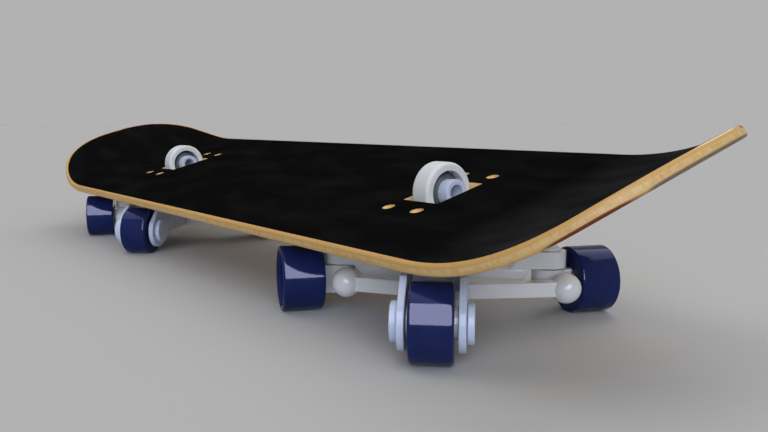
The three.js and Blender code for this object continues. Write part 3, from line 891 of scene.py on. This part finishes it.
def makeKingpin(truck, side, word):
    size = kingpinSizes
    seat, top = size["seat"], size["seat"] + size["rise"]
    pin = turned([
        (0, size["low"]), (size["pin"], size["low"]), (size["pin"], seat), (size["head"], seat),
        (size["head"], seat + size["rim"]), (size["crown"], top), (0, top),
    ], steps=56)
    soften(pin, size["edge"], angle=30, where=lambda middle: middle.z > seat + size["near"])
    place = turnedPlace(truck) @ moved(0, side * kingpinReach, 0)
    addTruckPiece(pin, truck, "kingpin_" + word, truck + "_truck", plastic, place)


rodSizes = {
    "ball": 9.7, "side": 4.7, "bow": 16.5, "edge": 0.7, "socket": 5.3, "mouth": 54, "mouthPast": 1,
    "arm": 23.2, "height": 21.8,
}
knuckleSizes = {
    "radius": 11.2, "low": 11.8, "high": 30.6, "boss": 8.2, "bossFace": 12.7, "edge": 0.8,
    "stub": 4, "stubStart": 4, "stubTip": 34.4, "stubEdge": 0.5,
    "pinHole": 4.3, "studHole": 2.5, "cutTop": 60, "studReach": 30,
}


def knucklePlace(truck, side):
    turn = Matrix.Rotation(radians(stance["steer"]), 4, "Z")
    return turnedPlace(truck) @ moved(0, side * kingpinReach, 0) @ turn


def ball(radius, middle, steps):
    shape = bmesh.new()
    bmesh.ops.create_uvsphere(shape, u_segments=steps, v_segments=steps // 2, radius=radius)
    return laid(shape, Matrix.Translation(middle))


def makeKnuckle(truck, side, word):
    size = knuckleSizes
    # a barrel with a block that grows out of it towards the wheel
    meet = degrees(acos(size["boss"] / size["radius"]))
    outline = arc((0, 0), size["radius"], 180 - meet, 360 + meet, steps=64)
    outline += [(size["boss"], size["bossFace"]), (-size["boss"], size["bossFace"])]
    barrel = soften(slab(outline, size["low"], size["high"]), size["edge"], angle=50)
    if side < 0:
        laid(barrel, Matrix.Rotation(pi, 4, "Z"))
    stub = soften(rod(size["stub"], size["stubStart"], size["stubTip"], steps=40), size["stubEdge"])
    laid(stub, Matrix.Translation((0, 0, stance["axleHeight"])) @ outward(side))
    studHole = rod(size["studHole"], 0, size["studReach"], steps=24)
    laid(studHole, Matrix.Translation((0, 0, rodSizes["height"])) @ alongX)
    knuckle = carved(joined(barrel, stub), rod(size["pinHole"], 0, size["cutTop"]), studHole)
    addTruckPiece(
        knuckle, truck, "knuckle_" + word, f"{truck}_steer_{word}", plastic,
        knucklePlace(truck, side),
    )


def makeTieRod(truck):
    size = rodSizes
    spread = size["side"] / cos(atan(size["bow"] / kingpinReach))
    outline = [
        (-spread, -kingpinReach), (spread, -kingpinReach), (size["bow"] + spread, 0),
        (spread, kingpinReach), (-spread, kingpinReach), (size["bow"] - spread, 0),
    ]
    bar = soften(slab(outline, -size["side"], size["side"]), size["edge"], angle=50)
    balls = [ball(size["ball"], (0, side * kingpinReach, 0), steps=64) for side in (-1, 1)]
    link = joined(bar, *balls)
    reach = size["ball"] + size["mouthPast"]
    for side in (-1, 1):
        middle = (0, side * kingpinReach, 0)
        mouth = turned([(0, 0), (reach * tan(radians(size["mouth"])), reach), (0, reach)], steps=48)
        laid(mouth, Matrix.Translation(middle) @ Matrix.Rotation(-pi / 2, 4, "Y"))
        link = carved(link, ball(size["socket"], middle, steps=32), mouth)
    steer = radians(stance["steer"])
    place = turnedPlace(truck) @ moved(size["arm"] * cos(steer), size["arm"] * sin(steer), size["height"])
    addTruckPiece(link, truck, "tie_rod", truck + "_link", plastic, place)


# wheels and their bearings

wheelSizes = {
    "radius": 21.95, "edge": 1.6, "stubReach": 26.9, "centreReach": 112.3,
    "outerHalf": 13.8, "bore": 9.9, "floor": 8.8, "lip": 1.6, "lipDepth": 1.2, "lipEdge": 0.3,
    "dish": 19.4, "dishDepth": 2.6, "dishCone": 1.8, "dishSlope": 1.6, "dishEdge": 0.5,
    "centreHalf": 11.8, "centreBore": 8.8, "boreEdge": 0.5,
}
bearingSizes = {
    "radius": 9.6, "bore": 4.3, "half": 8.5, "inner": 1.6, "outer": 1.4, "dip": 0.5, "edge": 0.15,
}


def wheelMiddle(truck, side):
    return knucklePlace(truck, side) @ moved(0, side * wheelSizes["stubReach"], stance["axleHeight"])


def makeOuterWheel(truck, side, word):
    size = wheelSizes
    half, lip, dish, radius = size["outerHalf"], size["bore"] + size["lip"], size["dish"], size["radius"]
    recess, halfWay = size["lipDepth"] - half, (radius + lip) / 2
    wheel = turned([
        (0, size["floor"]), (size["bore"], size["floor"]), (size["bore"], recess), (lip, recess),
        (lip, -half), (radius, -half), (radius, half), (dish, half),
        (dish - size["dishSlope"], half - size["dishDepth"]),
        (0, half - size["dishDepth"] - size["dishCone"]),
    ], steps=128)
    soften(wheel, size["edge"], segments=5, where=lambda middle: middle.xy.length > dish + size["dishEdge"])
    soften(wheel, size["dishEdge"], where=lambda middle: abs(middle.xy.length - dish) < size["dishEdge"])
    soften(
        wheel, size["lipEdge"], segments=2,
        where=lambda middle: middle.xy.length < halfWay and middle.z < 0,
    )
    place = wheelMiddle(truck, side) @ outward(side)
    addTruckPiece(wheel, truck, "wheel_" + word, f"{truck}_roller_{word}", urethane, place)


def makeWheelBearing(truck, side, word):
    size = bearingSizes
    bore, radius, half = size["bore"], size["radius"], size["half"]
    inner, outer, dip = bore + size["inner"], radius - size["outer"], half - size["dip"]
    profile = [
        (bore, -half), (inner, -half), (inner, -dip), (outer, -dip), (outer, -half), (radius, -half),
        (radius, half), (outer, half), (outer, dip), (inner, dip), (inner, half), (bore, half),
    ]
    bearing = soften(turned(profile, steps=64, closed=True), size["edge"], segments=2)
    place = wheelMiddle(truck, side) @ alongY
    addTruckPiece(bearing, truck, "wheel_bearing_" + word, f"{truck}_steer_{word}", steel, place)


def makeCentreWheel(truck):
    size = wheelSizes
    halfWay = (size["radius"] + size["centreBore"]) / 2
    wheel = tube(size["radius"], size["centreBore"], -size["centreHalf"], size["centreHalf"], steps=128)
    soften(wheel, size["edge"], segments=5, where=lambda middle: middle.xy.length > halfWay)
    soften(wheel, size["boreEdge"], segments=2, where=lambda middle: middle.xy.length < halfWay)
    place = turnedPlace(truck) @ moved(size["centreReach"], 0, stance["axleHeight"]) @ alongY
    body = truck + "_centre_roller"
    addTruckPiece(wheel, truck, "centre_wheel", body, urethane, place)


# fork: two legs, the bridge between them, and the centre wheel's axle, cap and bush

forkSizes = {
    "inner": 13.8, "outer": 17.95, "end": 15.5, "top": 45.5, "low": 18, "notch": 30, "lap": 33.17,
    "edge": 0.7, "bore": 4.3, "cutReach": 30, "bridgeEdge": 0.6, "gap": 0.3, "axle": 4, "axlePast": 2,
    "cap": 11, "capThickness": 3.85, "capEdge": 0.6, "capDip": 2.3, "bush": 8.5, "bushEdge": 0.3,
}
legPlan = {
    "back": -11, "lapEnd": 12, "notchStart": 16, "notchEnd": 44, "lowStart": 49, "lowEnd": 86, "topEnd": 107,
    "roundFrom": -125, "roundTo": 36,
}


def makeForkLeg(truck, side, word):
    size = forkSizes
    reach = wheelSizes["centreReach"]
    outline = [
        (legPlan["back"], size["lap"]), (legPlan["lapEnd"], size["lap"]),
        (legPlan["notchStart"], size["notch"]), (legPlan["notchEnd"], size["notch"]),
        (legPlan["lowStart"], size["low"]), (legPlan["lowEnd"], size["low"]),
        *arc((reach, stance["axleHeight"]), size["end"], legPlan["roundFrom"], legPlan["roundTo"], steps=40),
        (legPlan["topEnd"], size["top"]), (legPlan["back"], size["top"]),
    ]
    near, far = sorted((side * size["inner"], side * size["outer"]))
    leg = slab(outline, near, far)
    soften(leg, size["edge"], angle=25)
    hole = rod(size["bore"], -size["cutReach"], size["cutReach"], steps=40)
    leg = carved(leg, laid(hole, Matrix.Translation((reach, stance["axleHeight"], 0))))
    upright = Matrix(((1, 0, 0, 0), (0, 0, 1, 0), (0, 1, 0, 0), (0, 0, 0, 1)))
    laid(leg, upright)
    bmesh.ops.recalc_face_normals(leg, faces=leg.faces)
    addTruckPiece(
        leg, truck, "fork_leg_" + word, truck + "_truck", bluishLitPlastic, turnedPlace(truck),
    )


def makeForkFittings(truck):
    size = forkSizes
    body = truck + "_truck"
    bridge = soften(copiedNode(truck + "_fork_bridge"), size["bridgeEdge"], segments=2, angle=50)
    addTruckPiece(bridge, truck, "fork_bridge", body, bluishLitPlastic)
    seat = size["outer"] + size["gap"]
    end = seat + size["capThickness"]
    place = turnedPlace(truck) @ moved(wheelSizes["centreReach"], 0, stance["axleHeight"]) @ alongY
    axle = turned([
        (0, -end), (size["cap"], -end), (size["cap"], -seat), (size["axle"], -seat),
        (size["axle"], seat + size["axlePast"]), (0, seat + size["axlePast"]),
    ], steps=80)
    soften(axle, size["capEdge"])
    addTruckPiece(axle, truck, "centre_axle", body, bluishLitPlastic, place)
    dip = seat + size["capDip"]
    cap = turned([
        (0, dip), (size["bore"], dip), (size["bore"], seat),
        (size["cap"], seat), (size["cap"], end), (0, end),
    ], steps=80)
    soften(cap, size["capEdge"], where=lambda middle: middle.xy.length > size["cap"] / 2)
    addTruckPiece(cap, truck, "centre_axle_cap", body, bluishLitPlastic, place)
    half = size["inner"] - size["gap"]
    bush = soften(tube(size["bush"], size["bore"], -half, half, steps=64), size["bushEdge"], segments=2)
    addTruckPiece(bush, truck, "centre_bush", body, plastic, place)


def dressBallStuds(truck):
    for word in ("left", "right"):
        node = frame["nodes"][f"{truck}_ball_stud_{word}"]
        node.data.materials.clear()
        node.data.materials.append(steel)


for truck in trucks:
    makeHousing(truck)
    makeLeanBearing(truck)
    makeHub(truck)
    makeBaseplate(truck)
    makeScrews(truck)
    makeSwivel(truck)
    makeBeam(truck)
    for side, word in ((-1, "left"), (1, "right")):
        makeKingpin(truck, side, word)
        makeKnuckle(truck, side, word)
        makeOuterWheel(truck, side, word)
        makeWheelBearing(truck, side, word)
        makeForkLeg(truck, side, word)
    makeTieRod(truck)
    makeCentreWheel(truck)
    makeForkFittings(truck)
    dressBallStuds(truck)
    print(truck, "truck made")


# floor, backdrop, lamps and camera, with distances in metres

backdrop = {"grey": 0.445, "ambient": 0.01, "floorColour": (0.502, 0.4965, 0.503), "floorSize": 60}


def makeFloor():
    shape = bmesh.new()
    bmesh.ops.create_grid(shape, x_segments=1, y_segments=1, size=backdrop["floorSize"] / 2)
    floor = newObject("floor", shape)
    finish = {"Base Color": (*backdrop["floorColour"], 1), "Roughness": 1, "Specular IOR Level": 0}
    floor.data.materials.append(newMaterial("floorPaper", finish)[0])


def makeWorld():
    world = bpy.data.worlds.new("studio")
    bpy.context.scene.world = world
    world.use_nodes = True
    tree = world.node_tree
    seen, lit = tree.nodes["Background"], tree.nodes.new("ShaderNodeBackground")
    for node, strength in ((seen, backdrop["grey"]), (lit, backdrop["ambient"])):
        node.inputs["Color"].default_value = (1, 1, 1, 1)
        node.inputs["Strength"].default_value = strength
    links = tree.links
    path = tree.nodes.new("ShaderNodeLightPath")
    looking = path.outputs["Is Camera Ray"]
    for label in ("Is Glossy Ray", "Is Transmission Ray"):
        larger = tree.nodes.new("ShaderNodeMath")
        larger.operation = "MAXIMUM"
        links.new(looking, larger.inputs[0])
        links.new(path.outputs[label], larger.inputs[1])
        looking = larger.outputs["Value"]
    mix = tree.nodes.new("ShaderNodeMixShader")
    links.new(looking, mix.inputs["Fac"])
    links.new(lit.outputs["Background"], mix.inputs[1])
    links.new(seen.outputs["Background"], mix.inputs[2])
    links.new(mix.outputs["Shader"], tree.nodes["World Output"].inputs["Surface"])


# suns light the matt surfaces and panels only show in the glossy ones
lamps = {
    "window": {"azimuth": 50, "height": 20, "strength": 2.34, "angle": 50, "colour": (0.78, 0.86, 1)},
    "lampPastTail": {"azimuth": 100, "height": 40, "strength": 0.56, "angle": 50, "colour": (1, 0.99, 0.82)},
    "lampBehind": {"azimuth": 200, "height": 40, "strength": 1.0, "angle": 50, "colour": (1, 0.98, 0.93)},
    "lampPastNose": {"azimuth": 310, "height": 50, "strength": 0.5, "angle": 50, "colour": (1, 0.9, 0.72)},
    "overhead": {"azimuth": 0, "height": 89, "strength": 0.78, "angle": 60, "colour": (0.93, 0.96, 1)},
}
panels = {
    "windowPanel": {
        "azimuth": 57, "height": 37.5, "distance": 14, "size": (13, 15.6),
        "glow": 31, "colour": (0.67, 0.69, 1),
    },
    "ceilingPanel": {
        "azimuth": 237, "height": 78, "distance": 14.3, "size": (20, 18),
        "glow": 3, "colour": (0.62, 0.66, 1),
    },
}
sunDistance = 3  # only places the holders, as a sun's light is the same from everywhere


# a direction from the board; azimuth 0 is in front of it, on the side of -Y, and 90 is past its tail
def awayAt(azimuth, height):
    turn, rise = radians(azimuth), radians(height)
    return Vector((sin(turn) * cos(rise), -cos(turn) * cos(rise), sin(rise)))


def addLamp(name, kind, look, distance):
    data = bpy.data.lights.new(name, kind)
    data.color = look["colour"]
    away = awayAt(look["azimuth"], look["height"])
    holder = bpy.data.objects.new(name, data)
    holder.rotation_euler = (-away).to_track_quat("-Z", "Y").to_euler()
    holder.location = away * distance
    bpy.context.scene.collection.objects.link(holder)
    return holder


def makeLamps():
    for name, lamp in lamps.items():
        sun = addLamp(name, "SUN", lamp, sunDistance)
        sun.data.energy = lamp["strength"]
        sun.data.angle = radians(lamp["angle"])
        sun.visible_glossy = False
    for name, panel in panels.items():
        width, height = panel["size"]
        sheet = addLamp(name, "AREA", panel, panel["distance"])
        sheet.data.shape = "RECTANGLE"
        sheet.data.size, sheet.data.size_y = width, height
        sheet.data.energy = panel["glow"] * pi * width * height
        sheet.visible_camera = False
        sheet.visible_diffuse = False


# as fitted to the photo: beside the tail's lean joint and above the floor, in millimetres
view = {
    "fromTail": (357.1, -331.3, 126.4), "forward": (-0.779, 0.614, -0.128), "lens": 34.43, "sensor": 36,
    "clip": (0.01, 200),
}


def makeCamera():
    data = bpy.data.cameras.new("camera")
    data.lens = view["lens"]
    data.sensor_width = view["sensor"]
    data.clip_start, data.clip_end = view["clip"]
    camera = bpy.data.objects.new("camera", data)
    bpy.context.scene.collection.objects.link(camera)
    tail = spot("tail_lean")
    x, y, z = (value / 1000 for value in view["fromTail"])
    camera.location = (tail.x + x, tail.y + y, z)
    camera.rotation_euler = Vector(view["forward"]).to_track_quat("-Z", "Y").to_euler()
    bpy.context.scene.camera = camera


makeFloor()
makeWorld()
makeLamps()
makeCamera()
bpy.context.scene.view_settings.view_transform = "Standard"
print("stage made")
